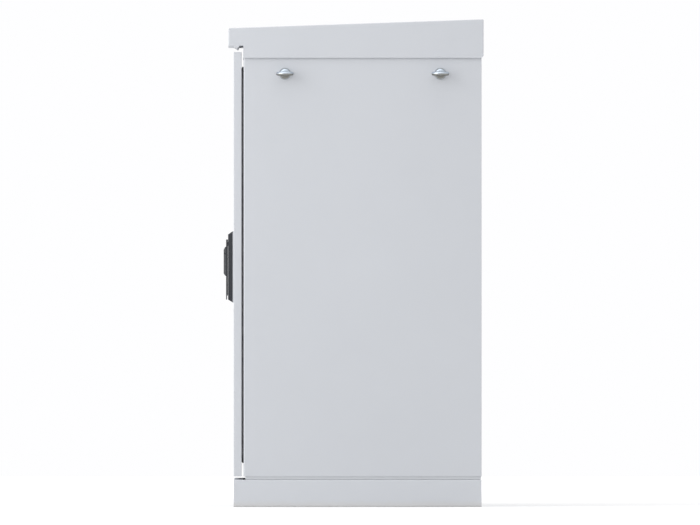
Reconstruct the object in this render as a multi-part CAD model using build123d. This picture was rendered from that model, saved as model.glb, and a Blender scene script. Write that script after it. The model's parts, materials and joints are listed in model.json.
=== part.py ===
from build123d import *
import math
import os

# Roadside utility cabinet: plinth, welded base frame, posts and rails, outer panels, sloping roof hood,
# one door on three side hinges, swing handle with two lock rods, lifting eyes and a 19 inch rack inside.
# The door faces -Y, +X is to the right of someone who faces the door, and Z is up from the ground.

# Overall sizes
body_width = 750
plinth_depth = 750
plinth_height = 82
body_height = 1303
base_reveal = 10

# Sheet and tube; contact is the gap between pieces that almost touch, and past is how far a cut overshoots
sheet = 2
bend_radius = 3
post_wall = 2
panel_fold = 12
contact = 0.3
past = 1
rim_recess = 3
hex_head_ratio = 1.75
hex_height_ratio = 1.25
screw_head_ratio = 1.8

# Plinth channels, with the anchor holes in the bottom flanges
plinth_sheet = 2.5
plinth_flange = 30
plinth_bend = 2.5
flange_hole_inset = 17
anchor_radius = 7
anchor_end_distance = 55
plinth_bolt_radius = 6
plinth_bolt_end_distance = 175
plinth_bolt_grip = 18

# Base frame, posts and rails
base_tube = 40
base_wall = 2.5
base_corner_radius = 3
front_post_width = 60
post_depth = 40
rim_overlap = 8
floor_bearing = 22

# Door
door_top_gap = 19
door_thickness = 24
seal_gap = 6
seal_inset = 40
seal_top_inset = 44
seal_width = 14
seal_margin = 4
door_edge_radius = 2
stiffener_width = 50
stiffener_end_gap = 2

# Hinges at the door's left edge
hinge_end_distance = 158
hinge_leaf = 3
hinge_leaf_reach = 40
knuckle_radius = 7
knuckle_height = 28
knuckle_gap = 1
hinge_pin_radius = 4
hinge_pin_fit = 0.05
hinge_axis_out = 8
hinge_head = 3

# Roof hood
roof_side_overhang = 6.4
roof_front_overhang = 16
roof_rear_overhang = 6
roof_front_height = 53
roof_rise = 27
roof_skirt = 37
roof_corner_cut = 6
roof_corner_radius = 3
drip_start = 16
drip_width = 13.5
drip_back = 3.5
drip_depth = 8
roof_rest = 18
roof_bracket_width = 40
roof_bracket_in_x = 75
roof_bracket_in_y = 145
roof_bolt_radius = 5
roof_bolt_grip = 20

# Lifting eyes, M12, screwed into nuts inside the lifting beams
eye_edge_distance = 125
eye_below_top = 85
eye_ring_outer = 27
eye_ring_bar = 6
eye_height = 53
eye_collar_radius = 15
eye_collar_height = 4
eye_neck_radius = 7
eye_neck_height = 5
eye_shank_radius = 6
eye_shank_length = 20.5
eye_washer_radius = 18
eye_washer = 2
lifting_beam_wall = 3
lifting_nut_width = 30
lifting_nut_height = 12

# Swing handle, measured outwards from the door's face
handle_edge_distance = 95
handle_bottom = 526
handle_length = 216
dish_width = 44
gasket_proud = 3
dish_proud = 17
dish_top_slope = 10
dish_bottom_slope = 9
dish_edge_radius = 1.5
spindle_below_top = 38
pocket_radius = 16.5
pocket_floor = 5
finger_recess_bottom = 14
finger_recess_height = 58
finger_recess_width = 37
lever_width = 26
lever_proud = 23
lever_plate = 3
lever_wall = 3
lever_gap = 0.5
lever_tip_above_dish = 9
lever_tip_length = 12
lever_pivot_proud = 14
lever_lug = 3
lever_lug_radius = 6
lever_pin_radius = 2.5
running_fit = 0.05
spindle_head_radius = 5.2
spindle_head_half = 6.2
spindle_journal_radius = 8
spindle_flange_radius = 12
spindle_flange = 2
spindle_square = 8
bulge_proud = 30.3
bulge_split = 26.4
bulge_top_below_spindle = 8
bulge_height = 90
bulge_top_curve = 17
bulge_bottom_curve = 13
bulge_bend_out = 0.71
bulge_bend_up = 0.33
bulge_width = 24
cover_pin_below_top = 4
cover_pin_end_gap = 0.5
cylinder_below_spindle = 55
cylinder_radius = 11
cylinder_length = 31.5
cylinder_recess = 0.5
plug_radius = 6
plug_end_radius = 7
key_hole_radius = 9
key_slot = (1.6, 7, 6)
cam_length = 14
cam_width = 9
cam_thickness = 3
handle_screw_radius = 2.5
handle_screw_depth = 9
handle_screw_below_top = 14
handle_screw_below_cylinder = 36
lock_window_margin = 15
skin_hole_gap = 1.5

# Rack and pinion lock behind the door
gear_module = 1.5
gear_teeth = 16
pressure_angle = math.radians(20)
gear_backlash = 0.3
rack_addendum = 1.2
rack_root = 1.9
gear_width = 10
rod_width = 6
rod_thickness = 8
rod_behind_rim = 8
rod_tip_gap = 3
rod_slot_gap = 0.4
rod_turn = math.pi / 2
case_wall = 2
case_side_gap = 3
case_half_height = 42
hub_radius = 7
guide_height = 14
guide_wall = 5
guide_places = (0.4, 0.85)
rack_teeth_before = 2.5

# Rack and floor
rack_hole_half_spacing = 232.55
rack_hole = 9.5
rack_unit = 44.45
holes_per_unit = 3
rack_front = 75
rack_rear = 173
rack_above_floor = 41
upright_lip_width = 12
upright_web = 40
upright_bolt_in = 24
upright_hole_edge = 7.5
rack_rail_width = 30
rack_rail_height = 40
rack_rail_above_bottom = 55
rack_rail_below_top = 46.25
upright_bolt_radius = 4
upright_bolt_grip = 14
gland_plate_width = 430
gland_plate_depth = 160
gland_plate_lap = 15
gland_plate_back = 78
gland_count = 4
gland_spacing = 90
gland_radius = 16
gland_bore = 11
gland_dome_radius = 17
plug_flange_radius = 13
plug_flange = 2
gland_head_radius = 22
gland_head_height = 22
gland_nut_height = 6
gland_thread = 10
earth_bar_length = 300
earth_bar_width = 25
earth_bar_thickness = 5
earth_bar_height = 26
earth_bar_behind_rim = 140
earth_holes = 6
earth_hole_radius = 3.3

# Screws
panel_screw_radius = 3
panel_screw_head = 5.5
panel_screw_length = 15
panel_screw_rows = 5
plate_screw_head_height = 3

# Levels and planes that the pieces share
half_width = body_width / 2
inner_half = half_width - sheet
front_y = -plinth_depth / 2
rear_y = plinth_depth / 2
door_back_y = front_y + door_thickness
body_front_y = door_back_y + seal_gap
rim_y = body_front_y + sheet
post_back_y = rim_y + post_depth
rear_inner_y = rear_y - sheet
rear_post_y = rear_inner_y - post_depth
panel_bottom_z = plinth_height + base_reveal
body_top_z = panel_bottom_z + body_height
frame_top_z = body_top_z - sheet
base_top_z = plinth_height + base_tube
door_bottom_z = panel_bottom_z
door_top_z = body_top_z - door_top_gap
door_height = door_top_z - door_bottom_z
front_post_x = inner_half - front_post_width
side_beam_x = inner_half - base_tube
seal_bottom_z = door_bottom_z + seal_inset
seal_top_z = door_top_z - seal_top_inset
opening_bottom_z = seal_bottom_z + seal_width + rim_overlap
opening_top_z = seal_top_z - seal_width - rim_overlap
eye_z = body_top_z - eye_below_top
eye_y = (body_front_y + eye_edge_distance, rear_y - eye_edge_distance)
handle_x = half_width - handle_edge_distance
dish_bottom_z = door_bottom_z + handle_bottom
dish_top_z = dish_bottom_z + handle_length
spindle_z = dish_top_z - spindle_below_top
cylinder_z = spindle_z - cylinder_below_spindle
handle_screw_levels = (cylinder_z - handle_screw_below_cylinder, dish_top_z - handle_screw_below_top)
floor_top_z = base_top_z + sheet
rod_y = (rim_y + rod_behind_rim, rim_y + rod_behind_rim + rod_thickness)
pitch_radius = gear_module * gear_teeth / 2
rod_inner = pitch_radius + rack_root
rod_outer = rod_inner + rod_width
rod_travel = pitch_radius * rod_turn


def block(x0, x1, y0, y1, z0, z1):
    """A box between two values on each axis."""
    return Pos((x0 + x1) / 2, (y0 + y1) / 2, (z0 + z1) / 2) * Box(x1 - x0, y1 - y0, z1 - z0)


def bar_x(radius, x0, x1, y, z):
    """A round bar along X."""
    return Pos((x0 + x1) / 2, y, z) * Rot(0, 90, 0) * Cylinder(radius, x1 - x0)


def bar_y(radius, y0, y1, x, z):
    """A round bar along Y."""
    return Pos(x, (y0 + y1) / 2, z) * Rot(90, 0, 0) * Cylinder(radius, y1 - y0)


def bar_z(radius, z0, z1, x, y):
    """A round bar along Z."""
    return Pos(x, y, (z0 + z1) / 2) * Cylinder(radius, z1 - z0)


def hex_z(radius, z0, z1, x, y):
    """A hexagonal prism along Z."""
    return Pos(x, y, z0) * extrude(RegularPolygon(radius, 6), z1 - z0)


def hex_x(radius, x0, x1, y, z):
    """A hexagonal prism along X."""
    return Pos(x0, y, z) * Rot(0, 90, 0) * extrude(RegularPolygon(radius, 6), x1 - x0)


def prism_x(points, x0, x1):
    """An outline of (y, z) points carried along X."""
    outline = make_face(Polyline(*points, close=True))
    return extrude(Plane.YZ.offset(x0) * outline, x1 - x0)


def prism_y(points, y0, y1):
    """An outline of (x, z) points carried along Y."""
    outline = make_face(Polyline(*points, close=True))
    return extrude(Plane.XZ.offset(-y1) * outline, y1 - y0)


def folded(points, thickness, radius, plane, length):
    """A folded sheet: the points run along the middle of its thickness, and it is extruded."""
    section = trace(FilletPolyline(*points, radius=radius), thickness)
    return extrude(plane * section, length)


def tube(x0, x1, y0, y1, z0, z1, wall, along):
    """A rectangular tube between two values on each axis, open at both ends of the axis it runs along."""
    in_x, in_y, in_z = (0 if axis == along else wall for axis in "XYZ")
    hollow = block(x0 + in_x, x1 - in_x, y0 + in_y, y1 - in_y, z0 + in_z, z1 - in_z)
    return block(x0, x1, y0, y1, z0, z1) - hollow


def mirrored(shape):
    """The same piece on the left side."""
    return mirror(shape, about=Plane.YZ)


def proud(distance):
    """The plane that lies so far out in front of the door's face."""
    return front_y - distance


def at_front_corner(edge):
    """The upright edges of a piece that stand in the side panels' front folds."""
    middle = edge.center()
    return middle.Y < rim_y + contact and abs(middle.X) > inner_half - contact


def at_door_face(edge):
    """The edges round the door's front and back, where its sheet is bent."""
    return not front_y + past < edge.center().Y < door_back_y - past


def save(name, *shapes):
    """Writes one node: a single solid, or a group of separate solids."""
    solids = [solid for shape in shapes for solid in shape.solids()]
    export_step(solids[0] if len(solids) == 1 else Compound(solids), f"parts/{name}.step")


os.makedirs("parts", exist_ok=True)

# Plinth: side channels run the full depth, and the front and rear channels stand between them
flange_hole_x = half_width - flange_hole_inset
anchor_y = rear_y - anchor_end_distance
plinth_bolt_y = rear_y - plinth_bolt_end_distance
half_plinth_sheet = plinth_sheet / 2


def plinth_section(outside, direction):
    """Channel section of a plinth side, open towards the middle of the cabinet."""
    lip = outside - direction * plinth_flange
    web = outside - direction * half_plinth_sheet
    low, high = half_plinth_sheet, plinth_height - half_plinth_sheet
    return [(lip, high), (web, high), (web, low), (lip, low)]


plinth_side = folded(
    plinth_section(half_width, 1), plinth_sheet, plinth_bend, Plane.XZ.offset(-rear_y), plinth_depth
)
for y in (-anchor_y, anchor_y):
    plinth_side -= bar_z(anchor_radius, -past, plinth_sheet + past, flange_hole_x, y)
for y in (-plinth_bolt_y, plinth_bolt_y):
    bolt_hole = plinth_bolt_radius + contact
    plinth_side -= bar_z(bolt_hole, plinth_height - 2 * plinth_sheet, plinth_height + past, flange_hole_x, y)
save("plinth_right", plinth_side)
save("plinth_left", mirrored(plinth_side))


def plinth_end(outside, direction):
    """Front or rear channel: its web reaches the side webs and its flanges stop at the side flanges."""
    flange_half = half_width - plinth_flange - contact
    channel = folded(
        plinth_section(outside, direction), plinth_sheet, plinth_bend,
        Plane.YZ.offset(-flange_half), 2 * flange_half,
    )
    web_half = half_width - plinth_sheet
    web_y = sorted((outside, outside - direction * plinth_sheet))
    bend = plinth_bend + half_plinth_sheet
    return channel + block(-web_half, web_half, *web_y, bend, plinth_height - bend)


save("plinth_front", plinth_end(front_y, -1))
save("plinth_rear", plinth_end(rear_y, 1))

plinth_bolt_spots = [(s * flange_hole_x, y) for s in (-1, 1) for y in (-plinth_bolt_y, plinth_bolt_y)]
bolt_head_top = plinth_height - plinth_sheet
bolt_head_z = bolt_head_top - plinth_bolt_radius * hex_height_ratio
plinth_bolts = [
    bar_z(plinth_bolt_radius, bolt_head_top, bolt_head_top + plinth_bolt_grip, x, y)
    + hex_z(plinth_bolt_radius * hex_head_ratio, bolt_head_z, bolt_head_top, x, y)
    for x, y in plinth_bolt_spots
]
save("plinth_bolts", *plinth_bolts)

# Base frame: four tubes mitred and welded at the corners, set back behind the panels
base_front_y = rim_y + rim_recess


def base_ring(inset):
    """The ring of the four tubes, or the hollow inside them when it is drawn a wall inside their faces."""
    outer_x = inner_half - inset
    inner_x = side_beam_x + inset
    outer_y = (base_front_y + inset, rear_inner_y - inset)
    inner_y = (base_front_y + base_tube - inset, rear_inner_y - base_tube + inset)
    z = (plinth_height + inset, base_top_z - inset)
    return block(-outer_x, outer_x, *outer_y, *z) - block(-inner_x, inner_x, *inner_y, *z)


def at_outer_foot(edge):
    """The base frame's lower outer edges, where the corners of its tubes are round."""
    middle = edge.center()
    outside = abs(middle.X) > inner_half - contact or not base_front_y < middle.Y < rear_inner_y - contact
    return middle.Z < plinth_height + contact and outside


base_frame = base_ring(0)
base_frame = fillet(base_frame.edges().filter_by(at_outer_foot), base_corner_radius)
base_frame -= base_ring(base_wall)
for x, y in plinth_bolt_spots:
    bolt_hole = plinth_bolt_radius + contact
    base_frame -= bar_z(bolt_hole, plinth_height - past, plinth_height + base_wall + past, x, y)
save("base_frame", base_frame)

# Corner posts, with holes for the rear panel's screws
screw_levels = [
    panel_bottom_z + body_height * (row + 0.5) / panel_screw_rows for row in range(panel_screw_rows)
]
rear_screw_x = inner_half - post_depth / 2
front_post = tube(
    front_post_x, inner_half, rim_y, post_back_y, base_top_z, frame_top_z, post_wall, "Z"
)
front_post = fillet(front_post.edges().filter_by(at_front_corner), bend_radius)
rear_post = tube(
    inner_half - post_depth, inner_half, rear_post_y, rear_inner_y, base_top_z, frame_top_z, post_wall, "Z"
)
for z in screw_levels:
    rear_post -= bar_y(
        panel_screw_radius + contact, rear_inner_y - post_wall - past, rear_inner_y + past, rear_screw_x, z
    )
save("front_post_right", front_post)
save("front_post_left", mirrored(front_post))
save("rear_post_right", rear_post)
save("rear_post_left", mirrored(rear_post))

# Front rails frame the door opening, with holes that the lock rods shoot into
rod_hole_y = (rod_y[0] - past, rod_y[1] + past)
upper_rod_x = (handle_x + rod_inner, handle_x + rod_outer)
lower_rod_x = (handle_x - rod_outer, handle_x - rod_inner)
rail_top = tube(
    -front_post_x, front_post_x, rim_y, post_back_y, opening_top_z, frame_top_z, post_wall, "X"
)
rail_top -= block(
    upper_rod_x[0] - past, upper_rod_x[1] + past, *rod_hole_y,
    opening_top_z - past, opening_top_z + post_wall + past,
)
rail_bottom = tube(
    -front_post_x, front_post_x, rim_y, post_back_y, base_top_z, opening_bottom_z, post_wall, "X"
)
rail_bottom -= block(
    lower_rod_x[0] - past, lower_rod_x[1] + past, *rod_hole_y,
    opening_bottom_z - post_wall - past, opening_bottom_z + past,
)
rear_rail_x = inner_half - post_depth
save("front_rail_top", rail_top)
save("front_rail_bottom", rail_bottom)
save(
    "rear_rail_top",
    tube(
        -rear_rail_x, rear_rail_x, rear_post_y, rear_inner_y,
        frame_top_z - post_depth, frame_top_z, post_wall, "X",
    ),
)

# Lifting beams between the posts, with a nut inside for each eye bolt
beam_half = base_tube / 2
lifting_beam = tube(
    side_beam_x, inner_half, post_back_y, rear_post_y,
    eye_z - beam_half, eye_z + beam_half, lifting_beam_wall, "Y",
)
nuts = []
nut_x = (inner_half - lifting_beam_wall - lifting_nut_height, inner_half - lifting_beam_wall)
for y in eye_y:
    lifting_beam -= bar_x(
        eye_shank_radius + contact, inner_half - lifting_beam_wall - past, inner_half + past, y, eye_z
    )
    half = lifting_nut_width / 2
    nut = block(*nut_x, y - half, y + half, eye_z - half, eye_z + half)
    nut -= bar_x(eye_shank_radius + running_fit, nut_x[0] - past, nut_x[1] + past, y, eye_z)
    nuts += [nut, mirrored(nut)]
save("lifting_beam_right", lifting_beam)
save("lifting_beam_left", mirrored(lifting_beam))
save("lifting_nuts", *nuts)


def eye_bolt(y):
    """Forged lifting eye on the right side: collar, neck, level ring and shank."""
    base_x = half_width + eye_washer
    ring_x = base_x + eye_height - eye_ring_outer
    collar = bar_x(eye_collar_radius, base_x, base_x + eye_collar_height, y, eye_z)
    neck_x = base_x + eye_collar_height + eye_neck_height / 2
    neck = Pos(neck_x, y, eye_z) * Rot(0, 90, 0) * Cone(eye_collar_radius, eye_neck_radius, eye_neck_height)
    ring = Pos(ring_x, y, eye_z) * Torus(eye_ring_outer - eye_ring_bar, eye_ring_bar)
    ring -= block(
        ring_x - 2 * eye_ring_outer, base_x, y - eye_ring_outer, y + eye_ring_outer,
        eye_z - 2 * eye_ring_bar, eye_z + 2 * eye_ring_bar,
    )
    shank = bar_x(eye_shank_radius, base_x - eye_shank_length, base_x, y, eye_z)
    return collar + neck + ring + shank


eye_bolts = [eye_bolt(y) for y in eye_y]
save("eye_bolts", *eye_bolts, *[mirrored(bolt) for bolt in eye_bolts])
washers = []
for y in eye_y:
    washer = bar_x(eye_washer_radius, half_width, half_width + eye_washer, y, eye_z)
    washer -= bar_x(eye_shank_radius + contact, half_width - past, half_width + eye_washer + past, y, eye_z)
    washers += [washer, mirrored(washer)]
save("eye_bolt_washers", *washers)

# Outer panels: the sides fold round the front posts and stop at the rear panel
half_sheet = sheet / 2
side_panel = folded(
    [
        (half_width - panel_fold, body_front_y + half_sheet),
        (half_width - half_sheet, body_front_y + half_sheet),
        (half_width - half_sheet, rear_inner_y),
    ],
    sheet, bend_radius, Plane.XY.offset(panel_bottom_z), body_height,
)
for y in eye_y:
    side_panel -= bar_x(eye_shank_radius + contact, inner_half - past, half_width + past, y, eye_z)
save("side_panel_right", side_panel)
save("side_panel_left", mirrored(side_panel))

rear_panel = block(-half_width, half_width, rear_inner_y, rear_y, panel_bottom_z, body_top_z)
rear_screws = []
for x in (-rear_screw_x, rear_screw_x):
    for z in screw_levels:
        head = Pos(x, rear_y - half_sheet, z) * Rot(-90, 0, 0) * Cone(
            panel_screw_radius, panel_screw_head, sheet
        )
        shank = bar_y(panel_screw_radius, rear_inner_y - panel_screw_length, rear_inner_y, x, z)
        rear_panel -= head
        rear_screws.append(head + shank)
save("rear_panel", rear_panel)
save("rear_panel_screws", *rear_screws)

# Roof hood: one folded and welded hood with a drip edge over the door
roof_front_y = front_y - roof_front_overhang
roof_rear_y = rear_y + roof_rear_overhang
roof_half = half_width + roof_side_overhang
roof_front_z = body_top_z + roof_front_height
roof_rear_z = roof_front_z + roof_rise
skirt_bottom_z = body_top_z - roof_skirt
skirt_front_y = body_front_y - half_sheet
drip_y = roof_front_y + drip_start
hood = prism_x(
    [
        (roof_front_y, body_top_z),
        (roof_front_y, roof_front_z),
        (roof_rear_y, roof_rear_z),
        (roof_rear_y, skirt_bottom_z + roof_corner_cut),
        (roof_rear_y - roof_corner_cut, skirt_bottom_z),
        (skirt_front_y, skirt_bottom_z),
        (skirt_front_y, body_top_z),
        (drip_y + drip_width + drip_back, body_top_z),
        (drip_y + drip_width, body_top_z - drip_depth),
        (drip_y, body_top_z),
    ],
    -roof_half, roof_half,
)
hood = fillet(hood.edges().filter_by(lambda edge: edge.center().Z > body_top_z + past), roof_corner_radius)


def hood_under(y):
    """Height of the hood's underside at a distance from the front."""
    slope = roof_rise / (roof_rear_y - roof_front_y)
    return roof_front_z - sheet + slope * (y - roof_front_y)


lip_top_z = body_top_z + sheet
hood -= prism_x(
    [
        (roof_front_y + sheet, lip_top_z),
        (roof_front_y + sheet, hood_under(roof_front_y + sheet)),
        (roof_rear_y - sheet, hood_under(roof_rear_y - sheet)),
        (roof_rear_y - sheet, skirt_bottom_z - past),
        (skirt_front_y - past, skirt_bottom_z - past),
        (skirt_front_y - past, body_top_z),
        (rim_y + roof_rest, body_top_z),
        (rim_y + roof_rest, lip_top_z),
    ],
    -roof_half + sheet, roof_half - sheet,
)
save("roof_hood", hood)

top_panel = block(-inner_half, inner_half, rim_y, rear_inner_y, frame_top_z, body_top_z)
top_panel = fillet(top_panel.edges().filter_by(at_front_corner), bend_radius)
roof_bracket_x = half_width - roof_bracket_in_x
roof_bracket_y = rear_y - roof_bracket_in_y
brackets, roof_bolts = [], []
for x in (-roof_bracket_x, roof_bracket_x):
    for y in (-roof_bracket_y, roof_bracket_y):
        half = roof_bracket_width / 2
        bracket = prism_x(
            [
                (y - half, body_top_z), (y + half, body_top_z),
                (y + half, hood_under(y + half)), (y - half, hood_under(y - half)),
            ],
            x - half, x + half,
        )
        bolt_top = frame_top_z + roof_bolt_grip
        bracket -= bar_z(roof_bolt_radius + contact, body_top_z - past, bolt_top + past, x, y)
        top_panel -= bar_z(roof_bolt_radius + contact, frame_top_z - past, body_top_z + past, x, y)
        brackets.append(bracket)
        head_bottom = frame_top_z - roof_bolt_radius * hex_height_ratio
        head = hex_z(roof_bolt_radius * hex_head_ratio, head_bottom, frame_top_z, x, y)
        roof_bolts.append(head + bar_z(roof_bolt_radius, frame_top_z, bolt_top, x, y))
save("top_panel", top_panel)
save("roof_brackets", *brackets)
save("roof_bolts", *roof_bolts)

# Floor with a gland plate towards the back
floor_half = side_beam_x + floor_bearing
plate_y = (rear_post_y - gland_plate_back - gland_plate_depth, rear_post_y - gland_plate_back)
plate_half = gland_plate_width / 2
floor_plate = block(
    -floor_half, floor_half, post_back_y + contact, rear_post_y - contact, base_top_z, floor_top_z
)
floor_plate -= block(
    -plate_half + gland_plate_lap, plate_half - gland_plate_lap,
    plate_y[0] + gland_plate_lap, plate_y[1] - gland_plate_lap, base_top_z - past, floor_top_z + past,
)
plate_top_z = floor_top_z + sheet
gland_plate = block(-plate_half, plate_half, *plate_y, floor_top_z, plate_top_z)
plate_middle_y = sum(plate_y) / 2
glands, plugs, plate_screws = [], [], []
for number in range(gland_count):
    x = (number - (gland_count - 1) / 2) * gland_spacing
    spot = (x, plate_middle_y)
    gland_plate -= bar_z(gland_radius + contact, floor_top_z - past, plate_top_z + past, *spot)
    thread = bar_z(gland_radius, floor_top_z - gland_thread, plate_top_z, *spot)
    hexagon = hex_z(gland_head_radius, plate_top_z, plate_top_z + gland_head_height / 2, *spot)
    dome_top = plate_top_z + gland_head_height
    dome = bar_z(gland_dome_radius, plate_top_z, dome_top, *spot)
    bore = bar_z(gland_bore, floor_top_z - gland_thread - past, dome_top + past, *spot)
    nut = hex_z(gland_head_radius, floor_top_z - gland_nut_height, floor_top_z, *spot)
    nut -= bar_z(gland_radius, floor_top_z - gland_nut_height - past, floor_top_z + past, *spot)
    glands += [thread + hexagon + dome - bore, nut]
    plugs.append(
        bar_z(gland_bore, floor_top_z, dome_top, *spot)
        + bar_z(plug_flange_radius, dome_top, dome_top + plug_flange, *spot)
    )
for x in (-plate_half + gland_plate_lap / 2, 0, plate_half - gland_plate_lap / 2):
    for y in (plate_y[0] + gland_plate_lap / 2, plate_y[1] - gland_plate_lap / 2):
        screw_bottom = base_top_z - sheet
        gland_plate -= bar_z(panel_screw_radius + contact, floor_top_z - past, plate_top_z + past, x, y)
        floor_plate -= bar_z(panel_screw_radius + contact, base_top_z - past, floor_top_z + past, x, y)
        plate_screws.append(
            bar_z(panel_screw_radius, screw_bottom, plate_top_z, x, y)
            + bar_z(panel_screw_head, plate_top_z, plate_top_z + plate_screw_head_height, x, y)
        )
save("floor_plate", floor_plate)
save("gland_plate", gland_plate)
save("gland_plate_screws", *plate_screws)
save("cable_glands", *glands)
save("gland_plugs", *plugs)

# Earth bar on two insulating blocks behind the door
bar_y0 = rim_y + earth_bar_behind_rim
bar_middle_y = bar_y0 + earth_bar_width / 2
bar_bottom_z = floor_top_z + earth_bar_height
earth_bar = block(
    -earth_bar_length / 2, earth_bar_length / 2, bar_y0, bar_y0 + earth_bar_width,
    bar_bottom_z, bar_bottom_z + earth_bar_thickness,
)
for number in range(earth_holes):
    x = (number - (earth_holes - 1) / 2) * earth_bar_length / (earth_holes + 2)
    earth_bar -= bar_z(
        earth_hole_radius, bar_bottom_z - past, bar_bottom_z + earth_bar_thickness + past, x, bar_middle_y
    )
support_half = earth_bar_width / 2
support_x = earth_bar_length / 2 - support_half
earth_supports = [
    block(x - support_half, x + support_half, bar_y0, bar_y0 + earth_bar_width, floor_top_z, bar_bottom_z)
    for x in (-support_x, support_x)
]
save("earth_bar", earth_bar)
save("earth_bar_supports", *earth_supports)

# Rack: rails from post to post, and four uprights with square holes at the 19 inch spacing
rack_front_y = rim_y + rack_front
rack_rear_y = rear_inner_y - rack_rear
rack_bottom = floor_top_z + rack_above_floor
rack_units = int((opening_top_z - rack_bottom) / rack_unit)
rack_top_z = rack_bottom + rack_unit * rack_units
lowest_rail_z = rack_bottom + rack_rail_above_bottom
highest_rail_z = rack_top_z - rack_rail_below_top
rack_rail_levels = (lowest_rail_z, (lowest_rail_z + highest_rail_z) / 2, highest_rail_z)
upright_lip_x = rack_hole_half_spacing - upright_hole_edge
rack_rails = [
    tube(
        front_post_x, front_post_x + rack_rail_width, post_back_y, rear_post_y,
        z - rack_rail_height / 2, z + rack_rail_height / 2, sheet, "Y",
    )
    for z in rack_rail_levels
]
upright_bolts = []


def upright(face_y, back):
    """Right-hand upright: lip, face with the rack holes, and a web bolted to the rails. back is +1 or -1."""
    middle_y = face_y + back * half_sheet
    shape = folded(
        [
            (upright_lip_x + half_sheet, face_y + back * upright_lip_width),
            (upright_lip_x + half_sheet, middle_y),
            (front_post_x - half_sheet, middle_y),
            (front_post_x - half_sheet, face_y + back * upright_web),
        ],
        sheet, sheet, Plane.XY.offset(rack_bottom), rack_top_z - rack_bottom,
    )
    third = rack_unit / holes_per_unit
    hole_y = sorted((face_y - back * past, face_y + back * (sheet + past)))
    half = rack_hole / 2
    holes = [
        block(
            rack_hole_half_spacing - half, rack_hole_half_spacing + half, *hole_y,
            rack_bottom + third * (row + 0.5) - half, rack_bottom + third * (row + 0.5) + half,
        )
        for row in range(holes_per_unit * rack_units)
    ]
    return shape - holes


uprights = {"front": upright(rack_front_y, 1), "rear": upright(rack_rear_y, -1)}
web_x = front_post_x - sheet
for place, (face_y, back) in {"front": (rack_front_y, 1), "rear": (rack_rear_y, -1)}.items():
    bolt_y = face_y + back * upright_bolt_in
    for level, z in enumerate(rack_rail_levels):
        hole = bar_x(upright_bolt_radius + contact, web_x - past, front_post_x + sheet + past, bolt_y, z)
        uprights[place] -= hole
        rack_rails[level] -= hole
        head = hex_x(upright_bolt_radius * hex_head_ratio, web_x - upright_bolt_radius, web_x, bolt_y, z)
        bolt = head + bar_x(upright_bolt_radius, web_x, web_x + upright_bolt_grip, bolt_y, z)
        upright_bolts += [bolt, mirrored(bolt)]
    save(f"upright_{place}_right", uprights[place])
    save(f"upright_{place}_left", mirrored(uprights[place]))
save("rack_rails_right", *rack_rails)
save("rack_rails_left", *[mirrored(rail) for rail in rack_rails])
save("upright_bolts", *upright_bolts)

# Door: a folded tray with a rim wide enough to carry the seal
door_half = half_width
inside_y = front_y + sheet
flange_y = door_back_y - sheet
flange_width = seal_inset + seal_width + seal_margin
flange_top = seal_top_inset + seal_width + seal_margin
door = block(-door_half, door_half, front_y, door_back_y, door_bottom_z, door_top_z)
door = fillet(door.edges().filter_by(at_door_face), door_edge_radius)
door -= block(
    -door_half + sheet, door_half - sheet, inside_y, flange_y, door_bottom_z + sheet, door_top_z - sheet
)
door -= block(
    -door_half + flange_width, door_half - flange_width, flange_y - past, door_back_y + past,
    door_bottom_z + flange_width, door_top_z - flange_top,
)
hole_y = (front_y - past, inside_y + past)
spindle_hole = spindle_journal_radius + skin_hole_gap
door -= bar_y(spindle_hole, *hole_y, handle_x, spindle_z)
door -= bar_y(cylinder_radius + skin_hole_gap, *hole_y, handle_x, cylinder_z)
for z in handle_screw_levels:
    door -= bar_y(handle_screw_radius + contact, *hole_y, handle_x, z)
save("door_panel", door)

seal_half = door_half - seal_inset
seal_back_y = rim_y - contact
seal = block(-seal_half, seal_half, door_back_y, seal_back_y, seal_bottom_z, seal_top_z)
seal -= block(
    -seal_half + seal_width, seal_half - seal_width, door_back_y - past, seal_back_y + past,
    seal_bottom_z + seal_width, seal_top_z - seal_width,
)
save("door_seal", seal)

# Door stiffeners: the one on the lock side has a window behind the handle
stiffener_z = (
    door_bottom_z + flange_width + stiffener_end_gap, door_top_z - flange_top - stiffener_end_gap
)
half = stiffener_width / 2
stiffener = tube(
    handle_x - half, handle_x + half, inside_y, door_back_y, *stiffener_z, sheet, "Z"
)
window_z = (handle_screw_levels[0] - lock_window_margin, handle_screw_levels[1] + lock_window_margin)
window_half = half - 2 * sheet
lock_stiffener = stiffener - block(
    handle_x - window_half, handle_x + window_half, inside_y - past, inside_y + sheet + past, *window_z
)
lock_stiffener -= bar_y(spindle_journal_radius, flange_y - past, door_back_y + past, handle_x, spindle_z)
save("door_stiffeners", lock_stiffener, mirrored(stiffener))

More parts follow.
